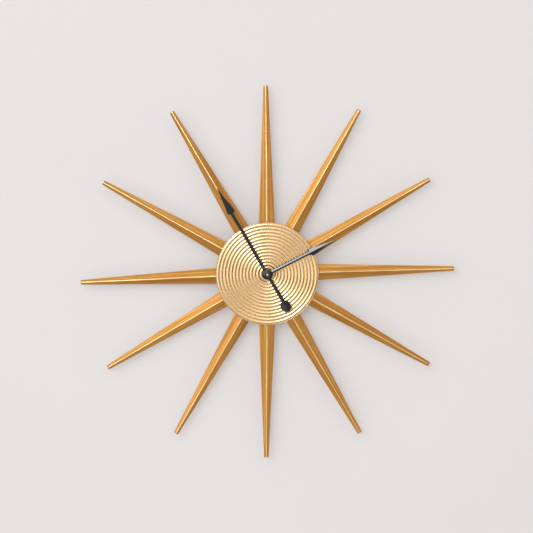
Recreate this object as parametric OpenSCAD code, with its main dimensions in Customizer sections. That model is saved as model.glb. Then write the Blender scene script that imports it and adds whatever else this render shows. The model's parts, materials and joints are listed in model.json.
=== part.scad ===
// Sunburst wall clock: twelve folded rays round a ringed dial, on a quartz movement.
// Millimetres, +Z up, front towards -Y. The origin is on the wall, at the centre of the
// hanger's keyhole. Each module draws on the clock's face: x to the right, y up, z out
// from the wall, with the hands' axis at x = y = 0; to_wall() stands it up.

/* [Sunburst] */
// From ray tip to ray tip
span = 600; // [480:5:720]
// Width of a ray where it meets the dial plate
ray_root_w = 26.8; // [18:0.2:28]
// Width of a ray's blunt tip
ray_tip_w = 7.6; // [5:0.2:12]
// Height of the fold along a ray, at its root
ray_fold_h = 8; // [5:0.5:8]
// Thickness of a ray's sheet
ray_sheet = 1; // [0.6:0.1:1.4]
// Share of each ray's own small lean: 0 spaces the rays evenly
ray_lean_share = 1; // [0:0.1:1]

/* [Dial] */
// Diameter of the dial
dial_d = 164.5; // [158:0.5:190]
// From one ring to the next
ring_pitch = 5.3; // [4.5:0.1:8]
// Width of the flat rim outside the rings
dial_rim_w = 0.8; // [0:0.1:2]
// Height of a ring over the groove beside it
ring_h = 0.7; // [0.6:0.1:1.4]
// Thickness of the dial's sheet
dial_sheet = 1; // [0.8:0.1:1.2]

/* [Hands] */
// From the axis to the minute hand's tip
minute_len = 160; // [140:1:200]
// From the axis to the hour hand's tip
hour_len = 124; // [100:1:135]
// From the axis to the end of the minute hand's tail
tail_len = 68.5; // [50:0.5:76]
// Where the minute hand points, clockwise from 12
minute_heading = 330; // [0:1:359]
// Where the hour hand points, clockwise from 12
hour_heading = 63; // [0:1:359]
// Width of a hand's rod
rod_w = 5; // [3:0.1:6]
// Width of a hand's spade
spade_w = 13; // [9:0.1:15]

/* [Fixing] */
// From the wall to the back of the plate that carries the rays
plate_gap = 21; // [21:0.5:30]
// Height of the keyhole over the hands' axis
keyhole_up = 41; // [39:0.5:43]

/* [Hidden] */
$fn = 64;
eps = 0.01;          // overshoot of a cut past a face
fit = 0.05;          // radial play of a shaft in its bearing, or of a screw in its thread
turn = 360;

function heading_point(heading, distance) = distance * [cos(heading), sin(heading)];

// the angle of a tooth on wheel b that meets a gap of wheel a, which stands at a heading
function mesh_phase(teeth_a, phase_a, teeth_b, heading) =
    heading + turn / 2 + (turn / teeth_b) * (0.5 - (phase_a - heading) * teeth_a / turn);

// depths of the layers, measured from the wall
plate_t = 1.5;
gasket_t = 1;
plate_front = plate_gap + plate_t;
dial_back = plate_front + ray_fold_h + 0.5;
dial_front = dial_back + dial_sheet;
case_front = plate_gap - gasket_t;
case_depth = 16;
case_back = case_front - case_depth;
washer_t = 0.8;
nut_t = 3;
bushing_end = dial_front + washer_t + nut_t + 1.5;
hand_t = 2;            // height of a hand's fold
hand_sheet = 0.8;
hub_t = 1.6;
hour_z = bushing_end + 0.9;
hour_pipe_end = hour_z + 2.4;
minute_z = hour_pipe_end + 1.4;
minute_tube_end = minute_z + 4.2;
seconds_end = minute_tube_end + 0.6;
collet_under = 0.3;    // how far the hour hand's collet stands out behind it
pipe_shown = 0.2;      // end of the hour pipe in front of its collet
tube_shown = 0.4;      // end of the minute tube in front of the hand nut
boss_wall = 1.4;
boss_h = 0.8;

// the rays and their plate
ray_count = 12;
ray_step = turn / ray_count;
ray_tip_r = span / 2;
ray_root_r = 70;
plate_r = 74;
foot_end_r = 41;       // inner end of the flat foot that a ray is riveted by
foot_w = 16;
ray_rivet_rs = [46, 54];
ray_lean = [-0.5, -0.8, -0.2, -1.5, -0.5, 0, 0.3, -0.4, -0.7, -2.8, -0.9, -0.5];
rivet_r = 1.5;
rivet_head_r = 2.8;
rivet_head_h = 1.1;

// the dial
dial_r = dial_d / 2;
rings_end_r = dial_r - dial_rim_w;
ring_first_r = rings_end_r - ring_pitch / 2;
dial_flat_r = 7.2;     // flat middle under the washer
ring_count = floor((ring_first_r - ring_pitch / 2 - dial_flat_r) / ring_pitch) + 1;
ring_round = (ring_pitch * ring_pitch / 4 + ring_h * ring_h) / (2 * ring_h);
post_r = 3.5;
post_at_r = 53;
post_count = 4;
post_heading = 15;     // clockwise from 12
screw_r = 1.5;
screw_head_r = 2.8;
screw_head_h = 1.8;

// the legs and the hanger
leg_r = 5;
leg_at_r = 63;
leg_headings = [135, 225];
leg_end = 1.5;
foot_cap_r = 6.2;
foot_cap_h = 7;
hanger_t = 1.2;
hanger_w = 40;
hanger_tab_w = 28;
hanger_leg_y = 60;     // the bend's height over the hands' axis
hanger_top_y = 69;
hanger_low_y = 32;
hanger_rivet_x = 13;
hanger_rivet_y = 65;
keyhole_r = 4.5;
keyhole_slot_r = 2.2;
keyhole_slot_h = 10;

// shafts, from the outside in
bushing_r = 4;
hour_pipe_r = 2.9;
minute_tube_r = 1.9;
seconds_arbor_r = 0.7;
pivot_r = 0.4;
rotor_arbor_r = 0.5;
setting_shaft_r = 1.2;
setting_pivot_len = 0.8;
collet_wall = 1.8;
pivot_len = 0.9;
end_play = 0.2;        // of an arbor along its axis
pinion_over = 0.1;     // how far a pinion reaches past the wheel it drives, on each side

// the movement's case, with the hands' axis at its centre
case_w = 56;
case_corner_r = 3;
case_wall = 1.4;
case_in = case_w / 2 - case_wall;
front_in = case_front - 1.5;         // inner side of the case's front
cover_t = 1.4;
cover_in = case_back + cover_t;      // inner side of the back cover
bay_top = -12.2;
room_bottom = -11;
battery_r = 7.1;
battery_y = (bay_top - case_in) / 2;
battery_z = case_back + battery_r + 0.5;
battery_len = 49.5;
battery_skin = 0.2;
contact_t = 0.4;
contact_half = 2;      // half the width of a contact's strip
contact_gap = 0.1;     // from a contact to the case's wall
corner_x = 23.5;
corner_ys = [-8, 23.5];
case_screw_r = 1;

// the wheels' levels, counted from the inner side of the case's front
wheel_t = 0.8;
level_hour = front_in - 1.2;
level_motion = front_in - 2.4;
mid_plate_t = 1;
mid_plate_back = front_in - 3.9;
level_minute = front_in - 5.1;
level_third = front_in - 6.4;
level_seconds = front_in - 7.8;
level_intermediate = front_in - 9.2;
seconds_arbor_back = level_seconds - 1.5;
fine_arbor_back = level_intermediate - 1.3;
magnet_back = front_in - 11.7;
magnet_t = 2;
magnet_r = 2.4;
magnet_gap = 0.4;      // between the magnet and the stator round it
stator_t = 1;
stator_front = front_in - 10.2;
boss_r = 1.5;
knob_t = 2.2;
knob_front = case_back - 0.3;
knob_back = knob_front - knob_t;

// the wheels' teeth: how many, and the module, in mm of pitch diameter per tooth
motion_module = 0.4;
cannon_teeth = 15;
setting_teeth = 45;
setting_pinion_teeth = 12;
hour_teeth = 48;
fine_module = 0.25;
minute_teeth = 80;
third_pinion_teeth = 10;
third_teeth = 60;
seconds_pinion_teeth = 8;
seconds_teeth = 60;
intermediate_pinion_teeth = 10;
seconds_module = 0.33;
intermediate_teeth = 40;
rotor_teeth = 8;

// headings on the face, anticlockwise from the right, and distances between axes
setting_heading = 170;
setting_gap = motion_module * (cannon_teeth + setting_teeth) / 2;
third_heading = 40;
third_gap = fine_module * (minute_teeth + third_pinion_teeth) / 2;
third_module = 2 * third_gap / (third_teeth + seconds_pinion_teeth);
intermediate_heading = 105;
intermediate_gap = seconds_module * (seconds_teeth + intermediate_pinion_teeth) / 2;
rotor_heading = 60;
rotor_gap = fine_module * (intermediate_teeth + rotor_teeth) / 2;
setting_at = heading_point(setting_heading, setting_gap);
third_at = heading_point(third_heading, third_gap);
intermediate_at = heading_point(intermediate_heading, intermediate_gap);
rotor_at = intermediate_at + heading_point(rotor_heading, rotor_gap);

// the angle of one tooth of each wheel and pinion, anticlockwise from the right
cannon_phase = 0;
setting_phase = mesh_phase(cannon_teeth, cannon_phase, setting_teeth, setting_heading);
setting_pinion_phase = 0;
hour_phase = mesh_phase(setting_pinion_teeth, setting_pinion_phase, hour_teeth,
                        setting_heading + turn / 2);
third_pinion_phase = 0;
minute_phase = mesh_phase(third_pinion_teeth, third_pinion_phase, minute_teeth,
                          third_heading + turn / 2);
third_phase = 0;
seconds_pinion_phase = mesh_phase(third_teeth, third_phase, seconds_pinion_teeth,
                                  third_heading + turn / 2);
seconds_phase = 0;
intermediate_pinion_phase = mesh_phase(seconds_teeth, seconds_phase,
                                       intermediate_pinion_teeth, intermediate_heading);
intermediate_phase = 0;
rotor_phase = mesh_phase(intermediate_teeth, intermediate_phase, rotor_teeth, rotor_heading);

// the motor's coil and the circuit board
coil_y = 23.4;
coil_len = 18.6;
coil_flange_r = 3;
coil_wire_r = 2.8;
coil_tube_r = 2;
coil_bore_r = 1.2;
flange_t = 0.6;
core_t = 1;
coil_z = stator_front + core_t / 2;
core_len = 26;
board_x = -25.8;
board_y = 4;
board_w = 11;
board_h = 16;
board_t = 0.8;
board_back = cover_in + 1.3;

// Shared shapes

module to_wall() {
    translate([0, 0, -keyhole_up])
        rotate([90, 0, 0])
            children();
}

module clockwise(heading) {
    rotate([0, 0, -heading])
        children();
}

module tube(r, bore_r, z0, z1) {
    translate([0, 0, z0])
        difference() {
            cylinder(r = r, h = z1 - z0);
            translate([0, 0, -eps])
                cylinder(r = bore_r, h = z1 - z0 + 2 * eps);
        }
}

module disc(r, z0, z1) {
    translate([0, 0, z0])
        cylinder(r = r, h = z1 - z0);
}

module slab(x0, x1, y0, y1, z0, z1) {
    translate([x0, y0, z0])
        cube([x1 - x0, y1 - y0, z1 - z0]);
}

module rounded_square(w, r) {
    side = w - 2 * r;
    square([w, side], center = true);
    square([side, w], center = true);
    for (sx = [-1, 1], sy = [-1, 1])
        translate([sx * side / 2, sy * side / 2])
            circle(r = r);
}

module gear_outline(teeth, size, phase) {
    pitch_r = size * teeth / 2;
    tip_r = pitch_r + 0.75 * size;
    root_r = pitch_r - 1.05 * size;
    step = turn / teeth;
    root_half = 0.27 * step;
    pitch_half = 0.2 * step;
    tip_half = 0.09 * step;
    polygon([
        for (i = [0 : teeth - 1])
            for (corner = [
                [root_r, -root_half], [pitch_r, -pitch_half], [tip_r, -tip_half],
                [tip_r, tip_half], [pitch_r, pitch_half], [root_r, root_half]
            ])
                heading_point(phase + i * step + corner[1], corner[0])
    ]);
}

module gear(teeth, size, phase, z0, bore_r = 0, t = wheel_t) {
    translate([0, 0, z0])
        linear_extrude(height = t)
            difference() {
                gear_outline(teeth, size, phase);
                if (bore_r > 0)
                    circle(r = bore_r);
            }
}

// a pinion that meshes with a wheel whose back is at a level
module pinion(teeth, size, phase, level) {
    gear(teeth, size, phase, level - pinion_over, t = wheel_t + 2 * pinion_over);
}

// an arbor between two pivots that run in the mid plate and in a boss of the cover
module arbor(r, z0, z1) {
    disc(r, z0, z1);
    disc(pivot_r, z0 - pivot_len, z1 + pivot_len);
}

// Rays

module ray_section(grow) {
    half = ray_root_w / 2;
    lip = 1.4;
    crest = 1;
    polygon([
        [-half - grow, 0], [half + grow, 0], [half + grow, lip + grow],
        [crest, ray_fold_h + grow], [-crest, ray_fold_h + grow], [-half - grow, lip + grow]
    ]);
}

// a folded channel that narrows evenly from its root to its tip
module ray_taper(grow, tip_r) {
    share = 1 - (1 - ray_tip_w / ray_root_w) * (tip_r - ray_root_r) / (ray_tip_r - ray_root_r);
    translate([0, ray_root_r, 0])
        rotate([-90, 0, 0])
            mirror([0, 1, 0])
                linear_extrude(height = tip_r - ray_root_r, scale = share)
                    ray_section(grow);
}

module ray(i) {
    color([0.85, 0.62, 0.3])
        to_wall()
            clockwise(i * ray_step + ray_lean[i] * ray_lean_share)
                translate([0, 0, plate_front])
                    difference() {
                        union() {
                            difference() {
                                ray_taper(0, ray_tip_r);
                                translate([0, ray_sheet, -eps])
                                    ray_taper(-ray_sheet, ray_tip_r - 2 * ray_sheet);
                            }
                            slab(-foot_w / 2, foot_w / 2, foot_end_r, ray_root_r + ray_sheet,
                                 0, ray_sheet);
                        }
                        for (r = ray_rivet_rs)
                            translate([0, r, -eps])
                                cylinder(r = rivet_r + fit, h = ray_sheet + 2 * eps);
                    }
}

module ray_plate() {
    color([0.35, 0.35, 0.36])
        to_wall()
            difference() {
                disc(plate_r, plate_gap, plate_front);
                plate_holes();
            }
}

module plate_holes() {
    z0 = plate_gap - eps;
    z1 = plate_front + eps;
    disc(bushing_r + fit, z0, z1);
    for (i = [0 : ray_count - 1])
        clockwise(i * ray_step + ray_lean[i] * ray_lean_share)
            for (r = ray_rivet_rs)
                translate([0, r, 0])
                    disc(rivet_r + fit, z0, z1);
    at_posts()
        disc(screw_r + fit, z0, z1);
    at_legs()
        disc(screw_r + fit, z0, z1);
    at_hanger_rivets()
        disc(rivet_r + fit, z0, z1);
}

module rivet(z0, z1) {
    disc(rivet_r, z0 - eps, z1 + eps);
    disc(rivet_head_r, z0 - rivet_head_h, z0);
    disc(rivet_head_r, z1, z1 + rivet_head_h);
}

module ray_rivets() {
    color([0.6, 0.6, 0.62])
        to_wall()
            for (i = [0 : ray_count - 1])
                clockwise(i * ray_step + ray_lean[i] * ray_lean_share)
                    for (r = ray_rivet_rs)
                        translate([0, r, 0])
                            rivet(plate_gap, plate_front + ray_sheet);
}

// Dial

module ring_sections(r) {
    for (i = [0 : ring_count - 1])
        translate([ring_first_r - i * ring_pitch, dial_sheet + ring_h - ring_round])
            circle(r = r);
}

// half of the pressed sheet, cut through its middle: x is the distance from the axis
module dial_section() {
    thick = dial_sheet + ring_h;
    difference() {
        union() {
            translate([bushing_r + fit, 0])
                square([dial_r - bushing_r - fit, dial_sheet]);
            intersection() {
                ring_sections(ring_round);
                translate([dial_flat_r, 0])
                    square([rings_end_r - dial_flat_r, thick]);
            }
        }
        ring_sections(ring_round - dial_sheet);
    }
}

module dial() {
    color([0.9, 0.75, 0.5])
        to_wall()
            translate([0, 0, dial_back])
                rotate_extrude($fn = 180)
                    dial_section();
}

module at_posts() {
    for (i = [0 : post_count - 1])
        clockwise(post_heading + i * turn / post_count)
            translate([0, post_at_r, 0])
                children();
}

module dial_posts() {
    color([0.7, 0.7, 0.72])
        to_wall()
            at_posts()
                tube(post_r, screw_r + fit, plate_front, dial_back);
}

// a screw along z, its head below its shank
module screw(r, head_r, head_h, z_seat, z_end) {
    disc(head_r, z_seat - head_h, z_seat);
    disc(r, z_seat - eps, z_end);
}

module dial_screws() {
    color([0.5, 0.5, 0.52])
        to_wall()
            at_posts()
                screw(screw_r, screw_head_r, screw_head_h, plate_gap, dial_back - 2);
}

// Hanger and legs

module at_hanger_rivets() {
    for (side = [-1, 1])
        translate([side * hanger_rivet_x, hanger_rivet_y, 0])
            children();
}

module keyhole() {
    translate([0, keyhole_up, -eps]) {
        cylinder(r = keyhole_r, h = hanger_t + 2 * eps);
        translate([-keyhole_slot_r, 0, 0])
            cube([2 * keyhole_slot_r, keyhole_slot_h, hanger_t + 2 * eps]);
        translate([0, keyhole_slot_h, 0])
            cylinder(r = keyhole_slot_r, h = hanger_t + 2 * eps);
    }
}

module hanger() {
    half_tab = hanger_tab_w / 2;
    half = hanger_w / 2;
    color([0.62, 0.63, 0.65])
        to_wall()
            difference() {
                union() {
                    slab(-half_tab, half_tab, hanger_low_y, hanger_leg_y, 0, hanger_t);
                    slab(-half_tab, half_tab, hanger_leg_y - hanger_t, hanger_leg_y,
                         0, plate_gap);
                    slab(-half, half, hanger_leg_y - hanger_t, hanger_top_y,
                         plate_gap - hanger_t, plate_gap);
                }
                keyhole();
                at_hanger_rivets()
                    disc(rivet_r + fit, plate_gap - hanger_t - eps, plate_gap + eps);
            }
}

module hanger_rivets() {
    color([0.6, 0.6, 0.62])
        to_wall()
            at_hanger_rivets()
                rivet(plate_gap - hanger_t, plate_front);
}

module at_legs() {
    for (heading = leg_headings)
        clockwise(heading)
            translate([0, leg_at_r, 0])
                children();
}

module spacer_legs() {
    thread_depth = 10;
    color([0.7, 0.7, 0.72])
        to_wall()
            at_legs()
                difference() {
                    disc(leg_r, leg_end, plate_gap);
                    disc(screw_r + fit, plate_gap - thread_depth, plate_gap + eps);
                }
}

module leg_screws() {
    reach = 8;
    color([0.5, 0.5, 0.52])
        to_wall()
            at_legs() {
                disc(screw_r, plate_gap - reach, plate_front + eps);
                disc(screw_head_r, plate_front, plate_front + screw_head_h);
            }
}

module rubber_feet() {
    color([0.12, 0.12, 0.12])
        to_wall()
            at_legs()
                difference() {
                    disc(foot_cap_r, 0, foot_cap_h);
                    disc(leg_r, leg_end, foot_cap_h + eps);
                }
}

// Movement case

module at_corners() {
    for (side = [-1, 1], y = corner_ys)
        translate([side * corner_x, y, 0])
            children();
}

module movement_case() {
    bay_front = front_in + 0.4;
    boss_low = mid_plate_back + mid_plate_t;
    color([0.13, 0.13, 0.14])
        to_wall()
            difference() {
                union() {
                    difference() {
                        translate([0, 0, case_back])
                            linear_extrude(height = case_depth)
                                rounded_square(case_w, case_corner_r);
                        slab(-case_w, case_w, bay_top, case_w, case_back - eps, cover_in);
                        slab(-case_in, case_in, room_bottom, case_in, case_back, front_in);
                        slab(-case_in, case_in, -case_in, bay_top, case_back - eps, bay_front);
                        contact_slots();
                    }
                    at_corners()
                        disc(2 * case_screw_r + 0.6, boss_low, front_in + eps);
                }
                disc(bushing_r, front_in - eps, case_front + eps);
                translate(setting_at)
                    disc(pivot_r + fit, front_in - eps, front_in + setting_pivot_len + end_play);
                at_corners()
                    disc(case_screw_r + fit, boss_low - eps, front_in);
            }
}

module contact_slots() {
    slot_w = 0.8;
    slot_low = battery_z - contact_half - 0.3;
    slot_high = battery_z + contact_half + 0.3;
    slab(case_in - slot_w, case_in, bay_top - eps, room_bottom + eps, slot_low, slot_high);
    slab(-case_in, slot_w - case_in, bay_top - eps, room_bottom + eps, slot_low, slot_high);
}

// a boss inside the cover, with a blind hole for an arbor's pivot
module pivot_boss(top) {
    depth = 1.2;
    difference() {
        disc(boss_r, cover_in - eps, top);
        disc(pivot_r + fit, top - depth, top + eps);
    }
}

module movement_cover() {
    head_depth = 0.9;
    color([0.16, 0.16, 0.17])
        to_wall()
            difference() {
                union() {
                    intersection() {
                        translate([0, 0, case_back])
                            linear_extrude(height = cover_t)
                                rounded_square(case_w, case_corner_r);
                        slab(-case_w, case_w, bay_top, case_w, 0, cover_in);
                    }
                    at_corners()
                        disc(2 * case_screw_r + 0.3, cover_in - eps, mid_plate_back);
                    pivot_boss(seconds_arbor_back - end_play);
                    translate(third_at)
                        pivot_boss(fine_arbor_back - end_play);
                    translate(intermediate_at)
                        pivot_boss(fine_arbor_back - end_play);
                    translate([rotor_at.x, rotor_at.y, 0])
                        difference() {
                            disc(boss_r, cover_in - eps, magnet_back - 2 * end_play);
                            disc(pivot_r + fit, cover_in - pivot_r, magnet_back);
                        }
                    board_pegs();
                }
                at_corners() {
                    disc(case_screw_r + fit, case_back - eps, mid_plate_back + eps);
                    disc(2 * case_screw_r, case_back - eps, case_back + head_depth);
                }
                translate(setting_at)
                    disc(setting_shaft_r + fit, case_back - eps, cover_in + eps);
            }
}

module board_pegs() {
    peg_r = 1;
    inset = 2;
    for (corner = [[inset, inset], [board_w - inset, board_h - inset]])
        translate([board_x + corner.x, board_y + corner.y, 0])
            disc(peg_r, cover_in - eps, board_back);
}

module cover_screws() {
    head_h = 0.9;
    color([0.7, 0.7, 0.72])
        to_wall()
            at_corners()
                screw(case_screw_r, 1.8 * case_screw_r, head_h, case_back + head_h,
                      front_in - case_screw_r);
}

module mid_plate() {
    low = mid_plate_back - eps;
    high = mid_plate_back + mid_plate_t + eps;
    gap = 0.1;
    color([0.85, 0.85, 0.82])
        to_wall()
            difference() {
                slab(gap - case_in, case_in - gap, room_bottom + gap, case_in - gap,
                     mid_plate_back, mid_plate_back + mid_plate_t);
                disc(minute_tube_r + fit, low, high);
                for (at = [third_at, intermediate_at, rotor_at])
                    translate(at)
                        disc(pivot_r + fit, low, high);
                translate(setting_at)
                    disc(setting_shaft_r + fit, low, high);
                at_corners()
                    disc(case_screw_r + fit, low, high);
            }
}

module gasket() {
    gasket_r = 16;
    color([0.1, 0.1, 0.1])
        to_wall()
            tube(gasket_r, bushing_r + fit, case_front, plate_gap);
}

module threaded_bushing() {
    color([0.8, 0.66, 0.35])
        to_wall()
            tube(bushing_r, hour_pipe_r + fit, front_in, bushing_end);
}

module dial_washer() {
    washer_r = 7.1;
    color([0.75, 0.75, 0.77])
        to_wall()
            tube(washer_r, bushing_r + fit, dial_front, dial_front + washer_t);
}

module dial_nut() {
    across_flats = 11;
    color([0.8, 0.66, 0.35])
        to_wall()
            translate([0, 0, dial_front + washer_t])
                difference() {
                    cylinder(d = across_flats / cos(30), h = nut_t, $fn = 6);
                    translate([0, 0, -eps])
                        cylinder(r = bushing_r + fit, h = nut_t + 2 * eps);
                }
}

// Hands

// half of a spade's edge from its neck to its tip: [half width, distance from the axis]
function spade_edge(length, head_len) =
    let (half = spade_w / 2, neck = length - head_len)
    [
        [rod_w / 2, neck], [0.7 * half, neck + 1.2], [0.93 * half, neck + 3.2],
        [half, neck + 5.6], [0.9 * half, neck + 0.16 * head_len],
        [0.68 * half, neck + 0.27 * head_len], [0.46 * half, neck + 0.42 * head_len],
        [0.26 * half, neck + 0.64 * head_len], [0.12 * half, neck + 0.84 * head_len],
        [0.04 * half, length]
    ];

module spade(length, head_len) {
    edge = spade_edge(length, head_len);
    count = len(edge);
    polygon([
        for (point = edge) point,
        for (i = [count - 1 : -1 : 0]) [-edge[i].x, edge[i].y]
    ]);
}

// a hand's outline along +y, with an oval balance on its tail if it has one
module hand_outline(length, head_len, hub_r, tail) {
    balance_w = 16.5;
    balance_h = 19.5;
    rod_start = hub_r - 1;
    translate([-rod_w / 2, rod_start])
        square([rod_w, length - head_len - rod_start + eps]);
    spade(length, head_len);
    if (tail > 0) {
        translate([-rod_w / 2, balance_h / 2 - tail])
            square([rod_w, tail - balance_h / 2 - rod_start]);
        translate([0, balance_h / 2 - tail])
            scale([balance_w / balance_h, 1])
                circle(d = balance_h);
    }
}

// a blade folded along its length, like a roof, round a flat hub
module hand(length, head_len, hub_r, bore_r, tail = 0) {
    roof_half = 10;
    hollow_half = roof_half * (1 - hand_sheet / hand_t);
    difference() {
        union() {
            intersection() {
                linear_extrude(height = hand_t)
                    hand_outline(length, head_len, hub_r, tail);
                translate([0, length + eps, 0])
                    rotate([90, 0, 0])
                        linear_extrude(height = length + tail + 2 * eps)
                            polygon([
                                [-roof_half, 0], [0, hand_t], [roof_half, 0],
                                [hollow_half, 0], [0, hand_t - hand_sheet], [-hollow_half, 0]
                            ]);
            }
            cylinder(r = hub_r, h = hub_t);
        }
        translate([0, 0, -eps])
            cylinder(r = bore_r, h = hand_t + 2 * eps);
    }
}

module hour_hand() {
    head_len = 48;
    hub_r = 7.4;
    color([0.09, 0.09, 0.1])
        to_wall()
            clockwise(hour_heading)
                translate([0, 0, hour_z])
                    hand(hour_len, head_len, hub_r, hour_pipe_r + collet_wall);
}

module minute_hand() {
    head_len = 48;
    hub_r = 8.4;
    color([0.09, 0.09, 0.1])
        to_wall()
            clockwise(minute_heading)
                translate([0, 0, minute_z])
                    hand(minute_len, head_len, hub_r, minute_tube_r, tail_len);
}

module hour_collet() {
    color([0.12, 0.12, 0.13])
        to_wall()
            tube(hour_pipe_r + collet_wall, hour_pipe_r, hour_z - collet_under,
                 hour_pipe_end - pipe_shown);
}

module minute_boss() {
    color([0.12, 0.12, 0.13])
        to_wall()
            tube(minute_tube_r + boss_wall, minute_tube_r, minute_z - boss_h, minute_z);
}

module hand_nut() {
    nut_r = 4.9;
    bevel = 0.5;
    low = minute_z + hub_t;
    high = minute_tube_end - tube_shown;
    color([0.1, 0.1, 0.11])
        to_wall()
            rotate_extrude()
                polygon([
                    [minute_tube_r, low], [nut_r, low], [nut_r, high - bevel],
                    [nut_r - bevel, high], [minute_tube_r + 2 * bevel, high],
                    [minute_tube_r, high - bevel]
                ]);
}

// Wheels

module hour_wheel() {
    color([0.93, 0.92, 0.88])
        to_wall() {
            gear(hour_teeth, motion_module, hour_phase, level_hour, minute_tube_r + fit);
            tube(hour_pipe_r, minute_tube_r + fit, level_hour, hour_pipe_end);
        }
}

module minute_wheel() {
    color([0.85, 0.68, 0.38])
        to_wall() {
            gear(minute_teeth, fine_module, minute_phase, level_minute,
                 seconds_arbor_r + fit);
            gear(cannon_teeth, motion_module, cannon_phase, level_motion,
                 seconds_arbor_r + fit);
            tube(minute_tube_r, seconds_arbor_r + fit, level_minute, minute_tube_end);
        }
}

module seconds_wheel() {
    color([0.85, 0.68, 0.38])
        to_wall() {
            gear(seconds_teeth, seconds_module, seconds_phase, level_seconds);
            pinion(seconds_pinion_teeth, third_module, seconds_pinion_phase, level_third);
            disc(seconds_arbor_r, seconds_arbor_back, seconds_end);
            disc(pivot_r, seconds_arbor_back - pivot_len, seconds_arbor_back + eps);
        }
}

module third_wheel() {
    color([0.93, 0.92, 0.88])
        to_wall()
            translate(third_at) {
                gear(third_teeth, third_module, third_phase, level_third);
                pinion(third_pinion_teeth, fine_module, third_pinion_phase, level_minute);
                arbor(seconds_arbor_r, fine_arbor_back, mid_plate_back - end_play);
            }
}

module intermediate_wheel() {
    color([0.93, 0.92, 0.88])
        to_wall()
            translate(intermediate_at) {
                gear(intermediate_teeth, fine_module, intermediate_phase,
                     level_intermediate);
                pinion(intermediate_pinion_teeth, seconds_module,
                       intermediate_pinion_phase, level_seconds);
                arbor(seconds_arbor_r, fine_arbor_back, mid_plate_back - end_play);
            }
}

module rotor_pinion() {
    color([0.3, 0.5, 0.75])
        to_wall()
            translate(rotor_at) {
                pinion(rotor_teeth, fine_module, rotor_phase, level_intermediate);
                arbor(rotor_arbor_r, magnet_back - end_play, mid_plate_back - end_play);
            }
}

module rotor_magnet() {
    color([0.3, 0.3, 0.32])
        to_wall()
            translate(rotor_at)
                tube(magnet_r, rotor_arbor_r, magnet_back, magnet_back + magnet_t);
}

module setting_wheel() {
    color([0.93, 0.92, 0.88])
        to_wall()
            translate(setting_at) {
                gear(setting_teeth, motion_module, setting_phase, level_motion);
                gear(setting_pinion_teeth, motion_module, setting_pinion_phase, level_hour);
                disc(setting_shaft_r, knob_back, level_hour + eps);
                disc(pivot_r, level_hour, front_in + setting_pivot_len);
            }
}

module setting_knob() {
    knob_r = 7;
    grips = 24;
    grip_r = 0.35;
    color([0.9, 0.9, 0.88])
        to_wall()
            translate(setting_at)
                difference() {
                    tube(knob_r, setting_shaft_r, knob_back, knob_front);
                    for (i = [0 : grips - 1])
                        translate(heading_point(i * turn / grips, knob_r))
                            translate([0, 0, knob_back - eps])
                                cylinder(r = grip_r, h = knob_t + 2 * eps, $fn = 12);
                }
}

// Motor and electronics

module stator() {
    half = core_len / 2;
    low_y = 12.8;
    high_y = 19.9;
    tab_w = 3;
    back = stator_front - stator_t;
    color([0.6, 0.6, 0.63])
        to_wall()
            difference() {
                union() {
                    slab(-half, half, low_y, high_y, back, stator_front);
                    for (x = [-half, half - tab_w])
                        slab(x, x + tab_w, high_y - eps, coil_y + 1, back, stator_front);
                }
                translate([rotor_at.x, rotor_at.y, 0])
                    disc(magnet_r + magnet_gap, back - eps, stator_front + eps);
            }
}

module coil_core() {
    color([0.6, 0.6, 0.63])
        to_wall()
            slab(-core_len / 2, core_len / 2, coil_y - core_t, coil_y + core_t,
                 stator_front, stator_front + core_t);
}

module along_coil() {
    translate([0, coil_y, coil_z])
        rotate([0, 90, 0])
            children();
}

module coil_bobbin() {
    half = coil_len / 2;
    color([0.15, 0.35, 0.6])
        to_wall()
            along_coil() {
                tube(coil_tube_r, coil_bore_r, -half, half);
                tube(coil_flange_r, coil_bore_r, -half, flange_t - half);
                tube(coil_flange_r, coil_bore_r, half - flange_t, half);
            }
}

module coil_winding() {
    half = coil_len / 2 - flange_t;
    color([0.75, 0.4, 0.2])
        to_wall()
            along_coil()
                tube(coil_wire_r, coil_tube_r, -half, half);
}

module circuit_board() {
    color([0.1, 0.4, 0.2])
        to_wall()
            slab(board_x, board_x + board_w, board_y, board_y + board_h,
                 board_back, board_back + board_t);
}

module chip_cover() {
    chip_r = 2.8;
    chip_h = 1.1;
    ball_r = (chip_r * chip_r + chip_h * chip_h) / (2 * chip_h);
    color([0.08, 0.08, 0.08])
        to_wall()
            translate([board_x + 4, board_y + 6, board_back + board_t])
                intersection() {
                    translate([0, 0, chip_h - ball_r])
                        sphere(r = ball_r);
                    cylinder(r = chip_r + 1, h = chip_h + 1);
                }
}

module crystal_can() {
    can_r = 1;
    can_len = 6;
    color([0.75, 0.75, 0.78])
        to_wall()
            translate([board_x + board_w - 2.2, board_y + 8, board_back + board_t + can_r])
                rotate([-90, 0, 0])
                    cylinder(r = can_r, h = can_len);
}

module along_battery() {
    translate([-battery_len / 2, battery_y, battery_z])
        rotate([0, 90, 0])
            children();
}

module battery_can() {
    nub_r = 2.8;
    nub_h = 1.3;
    color([0.75, 0.75, 0.77])
        to_wall()
            along_battery() {
                disc(battery_r - battery_skin, 0, battery_len);
                disc(nub_r, battery_len - eps, battery_len + nub_h);
            }
}

module battery_jacket() {
    bare = 0.5;
    color([0.2, 0.45, 0.35])
        to_wall()
            along_battery()
                tube(battery_r, battery_r - battery_skin, bare, battery_len - bare);
}

// a plate at an end of the battery, and a strip that leads up from it to the circuit
module contact(x0, strip_top) {
    plate_low = -25;
    plate_top = -14;
    half_plate = 4;
    slab(x0, x0 + contact_t, plate_low, plate_top,
         battery_z - half_plate, battery_z + half_plate);
    slab(x0, x0 + contact_t, plate_top - eps, strip_top,
         battery_z - contact_half, battery_z + contact_half);
}

module contact_positive() {
    strip_top = -3;
    color([0.8, 0.78, 0.72])
        to_wall()
            contact(case_in - contact_gap - contact_t, strip_top);
}

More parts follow.
